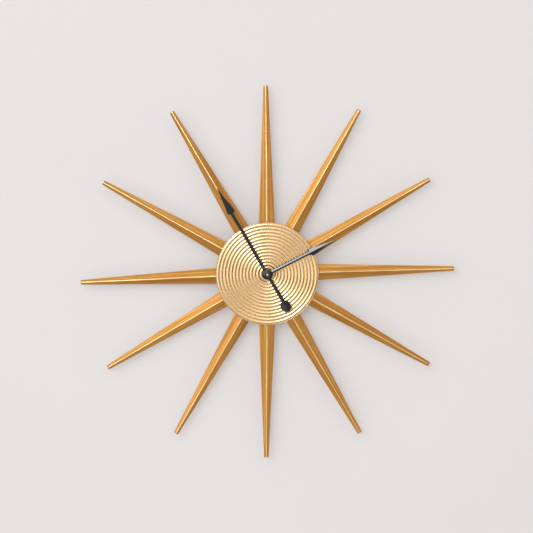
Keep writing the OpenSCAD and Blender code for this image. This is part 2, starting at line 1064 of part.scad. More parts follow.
// the negative contact has a leaf that bows out to touch the battery
module contact_negative() {
    x0 = contact_gap - case_in;
    strip_top = 8;
    bow = 1.3;
    half = 4.6;
    foot = contact_t - eps;
    leaf = contact_t;
    color([0.8, 0.78, 0.72])
        to_wall() {
            contact(x0, strip_top);
            translate([x0, battery_y, battery_z - contact_half])
                linear_extrude(height = 2 * contact_half)
                    polygon([
                        [foot, -half], [foot, 2 * leaf - half],
                        [bow - leaf / 4, -0.6], [bow - leaf / 4, 0.6],
                        [foot, half - 2 * leaf], [foot, half],
                        [bow + 0.75 * leaf, 1], [bow + 0.75 * leaf, -1]
                    ]);
        }
}

ray(0);  // ray_01
ray(1);  // ray_02
ray(2);  // ray_03
ray(3);  // ray_04
ray(4);  // ray_05
ray(5);  // ray_06
ray(6);  // ray_07
ray(7);  // ray_08
ray(8);  // ray_09
ray(9);  // ray_10
ray(10);  // ray_11
ray(11);  // ray_12
ray_plate();
ray_rivets();
dial();
dial_posts();
dial_screws();
hanger();
hanger_rivets();
spacer_legs();
leg_screws();
rubber_feet();
movement_case();
movement_cover();
cover_screws();
mid_plate();
gasket();
threaded_bushing();
dial_washer();
dial_nut();
hour_wheel();
hour_collet();
hour_hand();
minute_wheel();
minute_boss();
minute_hand();
hand_nut();
seconds_wheel();
third_wheel();
intermediate_wheel();
rotor_pinion();
rotor_magnet();
setting_wheel();
setting_knob();
stator();
coil_core();
coil_bobbin();
coil_winding();
circuit_board();
chip_cover();
crystal_can();
battery_can();
battery_jacket();
contact_positive();
contact_negative();
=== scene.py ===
"""Sunburst wall clock: materials, finished meshes, light and camera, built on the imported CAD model.

Lengths are in metres, and those written in mm go through MM. A point on the clock's face is
(right, up, out from the wall), counted from the hands' axis on the wall; face() turns it into the
row frame. Headings run clockwise from 12.
"""

import json
import math

import bmesh
import bpy
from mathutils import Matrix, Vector


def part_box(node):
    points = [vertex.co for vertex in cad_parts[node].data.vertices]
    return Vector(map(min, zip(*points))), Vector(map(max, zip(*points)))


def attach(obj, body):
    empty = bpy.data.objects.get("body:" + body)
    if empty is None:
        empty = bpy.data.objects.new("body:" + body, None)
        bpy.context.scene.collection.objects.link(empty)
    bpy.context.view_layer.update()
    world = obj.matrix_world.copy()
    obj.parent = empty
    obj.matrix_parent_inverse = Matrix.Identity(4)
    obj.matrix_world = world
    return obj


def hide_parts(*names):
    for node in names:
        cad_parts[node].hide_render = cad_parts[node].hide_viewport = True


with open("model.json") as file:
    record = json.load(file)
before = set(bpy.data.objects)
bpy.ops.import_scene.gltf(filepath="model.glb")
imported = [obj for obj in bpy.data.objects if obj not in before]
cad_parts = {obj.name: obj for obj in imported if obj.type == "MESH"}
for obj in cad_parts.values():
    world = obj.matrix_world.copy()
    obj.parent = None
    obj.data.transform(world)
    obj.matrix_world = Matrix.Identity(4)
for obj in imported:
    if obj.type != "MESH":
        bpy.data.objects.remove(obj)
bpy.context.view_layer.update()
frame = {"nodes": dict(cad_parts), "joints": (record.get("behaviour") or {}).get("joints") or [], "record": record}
NODES = frame["nodes"]
MM = 0.001
TURN = 2 * math.pi
AXIS = next(Vector(j["pos_m"]) for j in frame["joints"] if j["name"] == "minute_turn")
RAYS = sorted(n for n in NODES if n.startswith("ray_") and n[4:].isdigit())


# ---------------------------------------------------------------- places on the clock's face


def face(right, up, out):
    """A point of the face in the row frame."""
    return Vector((AXIS.x + right, -out, AXIS.z + up))


def on_face(point):
    """(right, up, out) of a point of the row frame."""
    return Vector((point.x - AXIS.x, point.z - AXIS.z, -point.y))


def heading_of(node):
    """The clockwise angle from 12 at which a node's far end points, in radians."""
    end_zone = 0.5 * MM
    points = [on_face(v.co) for v in NODES[node].data.vertices]
    reach = max(p.xy.length for p in points)
    ends = [p for p in points if p.xy.length > reach - end_zone]
    middle = sum((p.xy for p in ends), Vector((0, 0))) / len(ends)
    return math.atan2(middle.x, middle.y)


def turned(heading, across, along, out):
    """A point of the row frame from its place on a ray or hand that points at a heading."""
    c, s = math.cos(heading), math.sin(heading)
    return face(across * c + along * s, along * c - across * s, out)


def own_place(point, heading):
    """A point's (across, along, out) on a ray or hand that points at a heading."""
    c, s = math.cos(heading), math.sin(heading)
    p = on_face(point)
    return p.x * c - p.y * s, p.x * s + p.y * c, p.z


def own_places(node, heading):
    """A CAD node's vertices as (across, along, out)."""
    return [own_place(v.co, heading) for v in NODES[node].data.vertices]


def outs(node):
    """How far from the wall a node starts and ends."""
    low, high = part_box(node)
    return -high.y, -low.y


def centre_of(node):
    """(right, up) of the middle of a node's box."""
    low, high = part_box(node)
    middle = on_face((low + high) / 2)
    return middle.x, middle.y


# ---------------------------------------------------------------- mesh tools


def finish_mesh(name, bm, body, slot, stands_for=(), sharp=40, bevel=0.0, finish=None):
    """Makes an object of a bmesh that rides on a body.

    Its shading is smooth, but breaks at edges that turn by more than sharp degrees. stands_for
    names the CAD nodes that it replaces. It wears the material of its slot, or the one named by
    finish.
    """
    merge_distance = 1e-7
    bmesh.ops.remove_doubles(bm, verts=bm.verts, dist=merge_distance)
    bmesh.ops.recalc_face_normals(bm, faces=bm.faces)
    mesh = bpy.data.meshes.new(name)
    bm.to_mesh(mesh)
    bm.free()
    mesh.polygons.foreach_set("use_smooth", [True] * len(mesh.polygons))
    mesh.set_sharp_from_angle(angle=math.radians(sharp))
    mesh.materials.append(MATERIALS[finish or slot])
    piece = bpy.data.objects.new(name, mesh)
    bpy.context.scene.collection.objects.link(piece)
    if bevel:
        round_edges(piece, bevel)
    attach(piece, body)
    if stands_for:
        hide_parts(*stands_for)
    return piece


def round_edges(piece, width):
    """Rounds a piece's edges, but not the small steps of its curves."""
    least_turn = math.radians(32)
    bevel = piece.modifiers.new("rounded_edges", "BEVEL")
    bevel.width = width
    bevel.segments = 2
    bevel.limit_method = "ANGLE"
    bevel.angle_limit = least_turn
    bevel.use_clamp_overlap = True


def add_loops(bm, loops, closed=True, caps=True):
    """Skins a row of loops that all have the same number of points; caps close its two ends."""
    rings = [[bm.verts.new(p) for p in loop] for loop in loops]
    count = len(rings[0])
    last = count if closed else count - 1
    for a, b in zip(rings, rings[1:]):
        for i in range(last):
            j = (i + 1) % count
            bm.faces.new((a[i], a[j], b[j], b[i]))
    if caps:
        bm.faces.new(rings[0])
        bm.faces.new(rings[-1])


def add_lathe(bm, profile, segments):
    """Turns a closed outline of (radius, out) points round the hands' axis."""
    loops = []
    for i in range(segments):
        a = TURN * i / segments
        loops.append([face(r * math.cos(a), r * math.sin(a), out) for r, out in profile])
    loops.append(loops[0])
    add_loops(bm, loops, caps=False)


def evenly(start, end, steps):
    """Values from start to end, both included."""
    return [start + (end - start) * i / steps for i in range(steps + 1)]


def arc(centre, radius, start, end, steps):
    """Points of a round stretch of an outline, in degrees anticlockwise from the first axis."""
    for angle in evenly(start, end, steps):
        a = math.radians(angle)
        yield centre[0] + radius * math.cos(a), centre[1] + radius * math.sin(a)


def mirrored(outline):
    """The other half of an outline that is the same on both sides of x = 0."""
    return [(-x, y) for x, y in reversed(outline)]


def mark(piece, name, values):
    """Stores one number for each vertex, for a material to read."""
    data = piece.data.attributes.new(name, "FLOAT", "POINT")
    data.data.foreach_set("value", values)


def mark_vectors(piece, name, values):
    """Stores one vector for each vertex, for a material to read."""
    data = piece.data.attributes.new(name, "FLOAT_VECTOR", "POINT")
    data.data.foreach_set("vector", [x for v in values for x in v])


# ---------------------------------------------------------------- material tools

# The colour sockets of a Mix node go by number, because other types share their names.
MIX_FIRST = 6
MIX_SECOND = 7
MIX_RESULT = 2


class Nodes:
    """Makes and joins the nodes of one tree."""

    def __init__(self, tree):
        self.tree = tree

    def node(self, kind, inputs=None, **settings):
        """Makes a node: settings are its own properties, and inputs go by name or number."""
        made = self.tree.nodes.new("ShaderNode" + kind)
        for key, value in settings.items():
            setattr(made, key, value)
        for key, value in (inputs or {}).items():
            self.feed(made.inputs[key], value)
        return made

    def feed(self, socket, value):
        """Links a socket to another one, or gives it a fixed value."""
        if isinstance(value, bpy.types.NodeSocket):
            self.tree.links.new(value, socket)
        else:
            socket.default_value = value

    def noise(self, at, scale, detail):
        roughness = 0.55
        inputs = {"Vector": at, "Scale": scale, "Detail": detail, "Roughness": roughness}
        return self.node("TexNoise", inputs).outputs["Fac"]

    def ramp(self, value, low, high, out_low, out_high):
        """A value's place between low and high, as a value between out_low and out_high."""
        inputs = {
            "Value": value, "From Min": low, "From Max": high,
            "To Min": out_low, "To Max": out_high,
        }
        return self.node("MapRange", inputs).outputs["Result"]

    def blend(self, share, first, second):
        """A mix of two colours."""
        inputs = {"Factor": share, MIX_FIRST: first, MIX_SECOND: second}
        return self.node("Mix", inputs, data_type="RGBA").outputs[MIX_RESULT]

    def math(self, operation, a, b):
        return self.node("Math", {0: a, 1: b}, operation=operation).outputs[0]


class Shader(Nodes):
    """A material's node tree, built from left to right."""

    def __init__(self, name):
        self.material = bpy.data.materials.new(name)
        self.material.use_nodes = True
        super().__init__(self.material.node_tree)
        self.surface = self.tree.nodes["Principled BSDF"]

    def set(self, **values):
        """Feeds the surface and gives back the finished material."""
        names = {
            "colour": "Base Color",
            "metallic": "Metallic",
            "roughness": "Roughness",
            "normal": "Normal",
            "coat": "Coat Weight",
            "coat_roughness": "Coat Roughness",
            "specular": "Specular IOR Level",
            "glow": "Emission Strength",
            "glow_colour": "Emission Color",
        }
        for key, value in values.items():
            self.feed(self.surface.inputs[names[key]], value)
        return self.material

    def place(self, stretch=(1, 1, 1), attribute=None):
        """Object coordinates, or a stored vector, stretched."""
        if attribute:
            source = self.node("Attribute", attribute_name=attribute).outputs["Vector"]
        else:
            source = self.node("TexCoord").outputs["Object"]
        return self.node("Mapping", {"Vector": source, "Scale": stretch}).outputs["Vector"]

    def soft_edge(self, radius):
        """Normals that round off a sharp edge over a small radius."""
        return self.node("Bevel", {"Radius": radius}, samples=4).outputs["Normal"]

    def bump(self, height, strength, depth, under=None):
        """Normals of a relief, depth high, laid over other normals if there are any."""
        made = self.node("Bump", {"Height": height, "Strength": strength, "Distance": depth})
        if under is not None:
            self.feed(made.inputs["Normal"], under)
        return made.outputs["Normal"]


def rgb(r, g, b):
    return (r, g, b, 1.0)


# ---------------------------------------------------------------- materials


def ray_gold():
    """Satin gold paint: brushed along the ray, cloudy, with a painted highlight on its front crest and rubbed
    bright at its lips and nose.
    """
    s = Shader("ray_gold")
    streaks = s.noise(s.place((560, 7, 560), "grain"), scale=1.0, detail=5)
    waves = s.noise(s.place((210, 2.5, 210), "grain"), scale=1.0, detail=3)
    clouds = s.noise(s.place((1, 0.35, 1), "grain"), scale=60.0, detail=4)
    specks = s.noise(s.place(attribute="grain"), scale=2400.0, detail=2)
    streak_gold = rgb(0.65, 0.36, 0.11)
    shadow_gold = rgb(0.37, 0.14, 0.022)
    # Painted highlight colour of the crest, also the colour of the rubbed paint on the lips and nose.
    highlight_and_wear_gold = rgb(0.90, 0.66, 0.34)
    body = s.blend(clouds, rgb(0.46, 0.20, 0.036), rgb(0.60, 0.29, 0.064))
    body = s.blend(s.ramp(streaks, 0.35, 0.7, 0, 0.5), body, streak_gold)
    body = s.blend(s.ramp(waves, 0.4, 0.56, 0.6, 0), body, shadow_gold)
    # Painted highlight along the crest, and rubbed paint on the lips and nose, on the side facing the room only.
    highlight_and_wear = s.node("Attribute", attribute_name="highlight_and_wear").outputs["Fac"]
    highlight_and_wear = s.math("MULTIPLY", highlight_and_wear, s.ramp(streaks, 0.25, 0.6, 0.6, 1.0))
    normal_out = s.node("NewGeometry").outputs["Normal"]
    towards_wall = s.node("SeparateXYZ", {0: normal_out}).outputs["Y"]
    highlight_and_wear = s.math("MULTIPLY", highlight_and_wear, s.math("LESS_THAN", towards_wall, 0.0))
    colour = s.blend(highlight_and_wear, body, highlight_and_wear_gold)
    rough = s.ramp(streaks, 0.2, 0.8, 0.34, 0.46)
    fine = s.bump(specks, strength=0.08, depth=0.2 * MM)
    brushed = s.bump(streaks, strength=0.14, depth=0.4 * MM, under=fine)
    normal = s.bump(waves, strength=0.6, depth=1.6 * MM, under=brushed)
    return s.set(colour=colour, metallic=0.85, roughness=rough, normal=normal)


def dial_gold():
    """Champagne lacquer on a pressed, lathe-brushed disc, with painted shade in its grooves."""
    s = Shader("dial_gold")
    spun = s.noise(s.place((2600, 3, 400), "grain"), scale=1.0, detail=4)
    clouds = s.noise(s.place(), scale=30.0, detail=3)
    groove = s.node("Attribute", attribute_name="groove").outputs["Fac"]
    crest = s.blend(clouds, rgb(0.68, 0.445, 0.22), rgb(0.74, 0.505, 0.26))
    # Painted shade: the grooves take a darker, deeper gold than the crests.
    colour = s.blend(groove, crest, rgb(0.74, 0.385, 0.10))
    rough = s.ramp(spun, 0.2, 0.8, 0.17, 0.26)
    normal = s.bump(spun, strength=0.025, depth=0.2 * MM)
    return s.set(colour=colour, metallic=1.0, roughness=rough, normal=normal, coat=1.0,
                 coat_roughness=0.1)


def black_lacquer():
    """Semi-gloss black on the hands and their fittings."""
    s = Shader("hand_black")
    dust = s.noise(s.place(), scale=900.0, detail=3)
    orange_peel = s.noise(s.place(), scale=260.0, detail=2)
    colour = s.blend(dust, rgb(0.003, 0.003, 0.003), rgb(0.008, 0.007, 0.007))
    rough = s.ramp(dust, 0.25, 0.75, 0.13, 0.21)
    normal = s.bump(orange_peel, strength=0.04, depth=0.2 * MM)
    return s.set(colour=colour, roughness=rough, normal=normal, specular=0.3, coat=0.5,
                 coat_roughness=0.07)


def powder_coat():
    """Matt black powder coat with its fine grain."""
    s = Shader("plate_black")
    grain = s.noise(s.place(), scale=1500.0, detail=2)
    clouds = s.noise(s.place(), scale=24.0, detail=3)
    colour = s.blend(clouds, rgb(0.022, 0.022, 0.023), rgb(0.042, 0.042, 0.043))
    rough = s.ramp(grain, 0.3, 0.7, 0.50, 0.68)
    normal = s.bump(grain, strength=0.35, depth=0.3 * MM, under=s.soft_edge(0.3 * MM))
    return s.set(colour=colour, roughness=rough, normal=normal)


def plated(name, low, high, rough, scale=420.0, crystals=0.35):
    """Plated or turned metal with a cloudy, faintly crystalline surface."""
    s = Shader(name)
    clouds = s.noise(s.place(), scale=scale, detail=4)
    cells = s.node("TexVoronoi", {"Vector": s.place(), "Scale": scale * 0.8})
    mixed = s.blend(crystals, clouds, cells.outputs["Distance"])
    colour = s.blend(mixed, low, high)
    roughness = s.ramp(mixed, 0.2, 0.8, *rough)
    normal = s.bump(clouds, strength=0.12, depth=0.2 * MM, under=s.soft_edge(0.15 * MM))
    return s.set(colour=colour, metallic=1.0, roughness=roughness, normal=normal)


def moulded(name, low, high, rough, grain_scale=1800.0, grain_strength=0.3):
    """Moulded plastic with a spark-eroded grain and faint flow marks."""
    s = Shader(name)
    grain = s.noise(s.place(), scale=grain_scale, detail=3)
    flow = s.noise(s.place((1, 1, 0.25)), scale=60.0, detail=3)
    colour = s.blend(flow, low, high)
    spread = 0.07
    roughness = s.ramp(grain, 0.3, 0.7, rough - spread, rough + spread)
    normal = s.bump(grain, strength=grain_strength, depth=0.2 * MM, under=s.soft_edge(0.2 * MM))
    return s.set(colour=colour, roughness=roughness, normal=normal)


def rubber():
    """Matt rubber with patches of dust."""
    s = Shader("black_rubber")
    dust = s.noise(s.place(), scale=220.0, detail=5)
    grain = s.noise(s.place(), scale=2600.0, detail=2)
    dust_share = s.ramp(dust, 0.5, 0.8, 0.0, 0.35)
    colour = s.blend(dust_share, rgb(0.018, 0.018, 0.018), rgb(0.085, 0.082, 0.078))
    normal = s.bump(grain, strength=0.3, depth=0.3 * MM, under=s.soft_edge(0.4 * MM))
    return s.set(colour=colour, roughness=s.ramp(dust, 0.3, 0.7, 0.66, 0.82), normal=normal)


def wound_copper():
    """Enamelled wire, wound side by side along the coil."""
    s = Shader("copper_wire")
    turns = s.node("TexWave", {"Vector": s.place(), "Scale": 1600.0, "Distortion": 0.25},
                   bands_direction="X")
    clouds = s.noise(s.place(), scale=500.0, detail=3)
    colour = s.blend(clouds, rgb(0.50, 0.19, 0.07), rgb(0.78, 0.37, 0.16))
    normal = s.bump(turns.outputs["Fac"], strength=0.9, depth=0.1 * MM)
    return s.set(colour=colour, metallic=0.9, roughness=0.3, normal=normal, coat=0.4)


def circuit_green():
    """Green solder resist over copper tracks."""
    s = Shader("board_green")
    tracks = s.node("TexBrick", {"Vector": s.place((1, 0, 1)), "Scale": 260.0,
                                 "Mortar Size": 0.03, "Color1": rgb(0, 0, 0),
                                 "Color2": rgb(0.2, 0.2, 0.2), "Mortar": rgb(1, 1, 1)})
    weave = s.noise(s.place(), scale=1200.0, detail=2)
    resist = s.blend(weave, rgb(0.015, 0.11, 0.045), rgb(0.03, 0.17, 0.07))
    colour = s.blend(tracks.outputs["Fac"], resist, rgb(0.09, 0.33, 0.14))
    normal = s.bump(tracks.outputs["Fac"], strength=0.5, depth=0.1 * MM)
    return s.set(colour=colour, roughness=s.ramp(weave, 0.3, 0.7, 0.28, 0.42), normal=normal)


def battery_film():
    """Shrunk plastic film on the cell: green, with a darker band at its positive end."""
    s = Shader("battery_green")
    along = s.node("SeparateXYZ", {"Vector": s.place()}).outputs["X"]
    band_start = centre_of("battery_jacket")[0] + 12 * MM
    band = s.ramp(along, band_start, band_start + 0.1 * MM, 0.0, 1.0)
    creases = s.noise(s.place((0.15, 1, 1)), scale=900.0, detail=3)
    shade = s.noise(s.place(), scale=140.0, detail=2)
    green = s.blend(shade, rgb(0.045, 0.20, 0.13), rgb(0.07, 0.27, 0.18))
    colour = s.blend(band, green, rgb(0.035, 0.035, 0.038))
    normal = s.bump(creases, strength=0.15, depth=0.1 * MM)
    rough = s.ramp(shade, 0.3, 0.7, 0.2, 0.3)
    return s.set(colour=colour, roughness=rough, normal=normal, coat=0.5, coat_roughness=0.12)


MATERIALS = {
    "ray_gold": ray_gold(),
    "dial_gold": dial_gold(),
    "hand_black": black_lacquer(),
    "black_nickel": plated(
        "black_nickel", rgb(0.055, 0.055, 0.060), rgb(0.11, 0.11, 0.12), rough=(0.2, 0.32)
    ),
    "plate_black": powder_coat(),
    "zinc_steel": plated(
        "zinc_steel", rgb(0.44, 0.46, 0.48), rgb(0.70, 0.72, 0.74), rough=(0.24, 0.42)
    ),
    "brass": plated(
        "brass", rgb(0.44, 0.29, 0.16), rgb(0.58, 0.41, 0.25), rough=(0.3, 0.44),
        scale=700.0, crystals=0.1,
    ),
    "black_rubber": rubber(),
    "case_black": moulded(
        "case_black", rgb(0.020, 0.020, 0.022), rgb(0.036, 0.036, 0.039), rough=0.5
    ),
    "wheel_white": moulded(
        "wheel_white", rgb(0.74, 0.73, 0.68), rgb(0.83, 0.82, 0.77), rough=0.42,
        grain_scale=900.0, grain_strength=0.1,
    ),
    "rotor_blue": moulded(
        "rotor_blue", rgb(0.05, 0.15, 0.36), rgb(0.08, 0.21, 0.46), rough=0.4
    ),
    "magnet_grey": plated(
        "magnet_grey", rgb(0.05, 0.05, 0.055), rgb(0.12, 0.12, 0.13), rough=(0.5, 0.7)
    ),
    "motor_steel": plated(
        "motor_steel", rgb(0.34, 0.35, 0.37), rgb(0.52, 0.53, 0.55), rough=(0.3, 0.5)
    ),
    "copper_wire": wound_copper(),
    "board_green": circuit_green(),
    "chip_black": moulded(
        "chip_black", rgb(0.010, 0.010, 0.011), rgb(0.022, 0.022, 0.024), rough=0.22,
        grain_scale=400.0, grain_strength=0.1,
    ),
    "crystal_steel": plated(
        "crystal_steel", rgb(0.56, 0.57, 0.6), rgb(0.78, 0.79, 0.8), rough=(0.2, 0.3)
    ),
    "battery_steel": plated(
        "battery_steel", rgb(0.5, 0.5, 0.5), rgb(0.74, 0.74, 0.74), rough=(0.2, 0.34)
    ),
    "battery_green": battery_film(),
    "contact_nickel": plated(
        "contact_nickel", rgb(0.5, 0.47, 0.4), rgb(0.74, 0.71, 0.64), rough=(0.16, 0.3)
    ),
}


def dress_cad_nodes():
    """Every CAD node takes its own slot's material."""
    slots = {p["node"]: p["material_slot"] for p in frame["record"]["subparts"]}
    for name, node in NODES.items():
        node.data.materials.clear()
        node.data.materials.append(MATERIALS[slots[name]])


# ---------------------------------------------------------------- rays

SHEET = 1.0 * MM
RAY_SKIN = 0.9 * SHEET
LIP = 1.4 * MM
LIP_ROUND = 0.4 * MM
CREST_HALF = 0.6 * MM
CREST_ROUND = 1.0 * MM
# Where a mesh line runs along a facet, as shares of its width.
FACET_LINES = (0.05, 0.2, 0.5, 0.8, 0.95)
NOSE = 1.1 * MM
# The sections of a ray's nose: how far each is from the tip, and the share it is drawn in by.
NOSE_SECTIONS = ((0.45 * MM, 0.05), (0.1 * MM, 0.16), (0.0, 0.3))
RAY_STEPS = 48


class Ray:
    """A ray's measures, taken from its CAD node."""

    def __init__(self, node):
        end_zone = 0.1 * MM
        self.heading = heading_of(node)
        points = own_places(node, self.heading)
        self.base = min(out for _, _, out in points)
        self.fold = max(out for _, _, out in points) - self.base
        self.tip = max(along for _, along, _ in points)
        self.foot_end = min(along for _, along, _ in points)
        self.half_root = max(abs(across) for across, _, _ in points)
        near_widest = self.half_root - end_zone
        near_tip = self.tip - end_zone
        self.root = min(along for across, along, _ in points if abs(across) > near_widest)
        half_tip = max(abs(across) for across, along, _ in points if along > near_tip)
        self.taper = half_tip / self.half_root

    def share(self, along):
        """A section's size as a share of the root's."""
        return 1 - (1 - self.taper) * (along - self.root) / (self.tip - self.root)

    def section(self, along, drawn_in=0.0):
        """The section's outline in the row frame."""
        outline = ray_outline(self.share(along) * (1 - drawn_in), self.half_root, self.fold)
        return [turned(self.heading, x, along, self.base + y) for x, y in outline]

    def crest_highlight_and_wear(self, across, along):
        """How much a point takes of the pale colour: a painted highlight, most, on the crest, and rubbed paint,
        less, on the lips and the nose.
        """
        crest_flat = 0.8 * CREST_HALF
        crest_fade = 0.3 * CREST_HALF
        lip_wear = 0.35
        lip_fade = 0.5 * MM
        nose_wear = 0.5
        nose_fade = 1.2 * MM
        from_lip = self.half_root * self.share(along) - abs(across)
        # The painted highlight along the crest.
        crest = 1 - max(0.0, abs(across) - crest_flat) / crest_fade
        lip = lip_wear * (1 - from_lip / lip_fade)
        nose = nose_wear * (1 - (self.tip - along) / nose_fade)
        return max(crest, lip, nose, 0.0)


def rounded(corner, before, after, radius, steps):
    """Points of an arc that rounds a corner between two straight stretches of an outline."""
    a = (Vector(before) - Vector(corner)).normalized()
    b = (Vector(after) - Vector(corner)).normalized()
    half = a.angle(b) / 2
    back = radius / math.tan(half)
    middle = Vector(corner) + (a + b).normalized() * (radius / math.sin(half))
    start = Vector(corner) + a * back - middle
    sweep = math.pi - 2 * half
    side = math.copysign(1, a.x * b.y - a.y * b.x)
    for i in range(steps + 1):
        t = -side * sweep * i / steps
        c, s = math.cos(t), math.sin(t)
        yield middle.x + start.x * c - start.y * s, middle.y + start.x * s + start.y * c


def between(start, end, share):
    """A point of the straight line from start to end."""
    return tuple(a + (b - a) * share for a, b in zip(start, end))


def ray_outline(share, half_root, fold_root):
    """Outer outline of a ray from lip to lip, as (across, out), at a share of its root's size."""
    half = half_root * share
    lip = LIP * share
    top = fold_root * share
    foot, edge, shoulder = (half, 0.0), (half, lip), (CREST_HALF, top)
    lip_line = (half, lip * 0.3)
    least_round = 0.4
    lip_round = LIP_ROUND * (least_round + (1 - least_round) * share)
    turn_up = list(rounded(edge, foot, shoulder, lip_round, steps=4))
    ridge = list(rounded(shoulder, edge, (0, top), CREST_ROUND, steps=5))
    facet = [between(turn_up[-1], ridge[0], t) for t in FACET_LINES]
    right = [foot, lip_line] + turn_up + facet + ridge
    return right + mirrored(right)


def make_ray(node):
    """A folded ray that is closed at its root and nose, with the foot it is riveted by."""
    ray = Ray(node)
    loops = [ray.section(a) for a in evenly(ray.root, ray.tip - NOSE, RAY_STEPS)]
    loops += [ray.section(ray.tip - back, drawn_in) for back, drawn_in in NOSE_SECTIONS]
    bm = bmesh.new()
    add_loops(bm, loops, closed=False)
    piece = finish_mesh("folded_" + node, bm, "frame", "ray_gold", [node], sharp=24)
    # Each vertex stores its grain place and its share of painted crest highlight and wear.
    grain, highlight_and_wear = [], []
    for v in piece.data.vertices:
        across, along, out = own_place(v.co, ray.heading)
        grain.append((across + ray.heading, along, out))
        highlight_and_wear.append(ray.crest_highlight_and_wear(across, along))
    mark_vectors(piece, "grain", grain)
    mark(piece, "highlight_and_wear", highlight_and_wear)
    solid = piece.modifiers.new("sheet", "SOLIDIFY")
    solid.thickness = RAY_SKIN
    solid.offset = -1
    solid.use_even_offset = True
    make_foot(node, ray)


def make_foot(node, ray):
    """The flat foot that a ray is riveted by, with a rounded end."""
    half = 8 * MM
    corner = 3 * MM
    corner_along = ray.foot_end + corner
    outline = [(half, ray.root), (half, corner_along)]
    outline += arc((half - corner, corner_along), corner, 0, -90, steps=5)
    outline += mirrored(outline)
    loops = [
        [turned(ray.heading, x, y, out) for x, y in outline]
        for out in (ray.base, ray.base + SHEET)
    ]
    bm = bmesh.new()
    add_loops(bm, loops)
    foot = finish_mesh("foot_" + node, bm, "frame", "ray_gold", bevel=0.15 * MM)
    mark_vectors(foot, "grain", [tuple(on_face(v.co)) for v in foot.data.vertices])


# ---------------------------------------------------------------- dial

RING_PITCH = 5.3 * MM
RING_HEIGHT = 0.7 * MM
RING_CURVE = 2.1      # 2 would make a ring's section a parabola
GROOVE_CURVE = 3      # how soon a ring's side starts to take the painted groove shade
STEPS_PER_RING = 16
DIAL_HOLE = 4.1 * MM
DIAL_FLAT = 7.2 * MM
DIAL_RIM = 0.8 * MM
RIM_BEAD = 0.35 * MM


def dial_surface(radius, dial_r):
    """Height of the dial's front over its groove level, and how deep in a groove it is, for its painted groove
    shade.
    """
    rings_end = dial_r - DIAL_RIM
    if radius < DIAL_FLAT:
        return 0.0, 0.0
    if radius > rings_end:
        across = min(1.0, (radius - rings_end) / DIAL_RIM)
        return RIM_BEAD * math.sin(math.pi * across), 0.0
    from_crest = (rings_end - radius) % RING_PITCH - RING_PITCH / 2
    share = abs(from_crest) / (RING_PITCH / 2)
    return RING_HEIGHT * (1 - share**RING_CURVE), share**GROOVE_CURVE


def make_dial():
    """The pressed dial: flat in the middle, then rings, then a bead round the rim."""
    low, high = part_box("dial")
    dial_r = (high.x - low.x) / 2
    back, front = outs("dial")
    sheet = front - back - RING_HEIGHT
    rings_end = dial_r - DIAL_RIM
    line_gap = 0.2 * MM
    edge_in = 0.05 * MM
    ring_steps = round((rings_end - DIAL_FLAT) / RING_PITCH * STEPS_PER_RING)
    radii = [DIAL_HOLE, DIAL_HOLE + line_gap, DIAL_FLAT - line_gap]
    radii += evenly(DIAL_FLAT, rings_end, ring_steps)
    radii += evenly(rings_end, dial_r, 6)[1:]
    front_line = [(r, back + sheet + dial_surface(r, dial_r)[0]) for r in radii]
    edge = list(arc((dial_r - edge_in, back + sheet / 2), sheet / 2, 60, -90, steps=6))
    back_line = [(r, back + dial_surface(r, dial_r)[0]) for r in reversed(radii)]
    bm = bmesh.new()
    add_lathe(bm, front_line[:-1] + edge + back_line[1:], segments=288)
    dial = finish_mesh("ringed_dial", bm, "frame", "dial_gold", ["dial"], sharp=50)
    # Each vertex stores its grain place and how much painted groove shade it takes.
    grain, groove = [], []
    for v in dial.data.vertices:
        p = on_face(v.co)
        r = p.xy.length
        grain.append((r, math.atan2(p.y, p.x) / TURN, p.z))
        groove.append(dial_surface(min(r, dial_r), dial_r)[1])
    mark_vectors(dial, "grain", grain)
    mark(dial, "groove", groove)


# ---------------------------------------------------------------- hands

FOLD_SLOPE = 0.2
HAND_SHEET = 0.8 * MM
HAND_CREST = 0.25 * MM
HAND_EDGE = 0.25 * MM
EDGE_ROUND = 0.04 * MM
# Where a mesh line runs along a blade's side, as shares of its half width and of its crest's.
SIDE_LINES = (0.94, 0.86)
CREST_LINES = (1.5, 1.0)
# How wide a blade is where its edge turns over, and underneath, as shares of its half width.
TURNED_SHARE = 0.98
UNDER_SHARE = 0.96
ROD_HALF = 2.5 * MM
SPADE_LENGTH = 48 * MM
SPADE_TIP_HALF = 0.45 * MM
SPADE_SHOULDER = 0.09  # share of the spade's length that it takes to widen
SHOULDER_CURVE = 0.7
POINT_CURVE = 1.35
TAIL_HALF_WIDTH = 8.25 * MM
TAIL_HALF_LENGTH = 9.75 * MM
HUB_THICKNESS = 1.6 * MM
HOUR_HUB_R = 7.4 * MM
HOUR_BORE_R = 4.7 * MM
MINUTE_HUB_R = 8.4 * MM
MINUTE_BORE_R = 1.9 * MM
TURNED_EDGE = 0.35 * MM


def spade_half_width(along, length, half_spade):
    """Half the width of a hand at a distance from the axis."""
    neck = length - SPADE_LENGTH
    if along <= neck:
        return ROD_HALF
    t = (along - neck) / (length - neck)
    if t < SPADE_SHOULDER:
        rise = math.sin(t / SPADE_SHOULDER * math.pi / 2) ** SHOULDER_CURVE
        return ROD_HALF + (half_spade - ROD_HALF) * rise
    fall = (t - SPADE_SHOULDER) / (1 - SPADE_SHOULDER)
    return SPADE_TIP_HALF + (half_spade - SPADE_TIP_HALF) * (1 - fall) ** POINT_CURVE


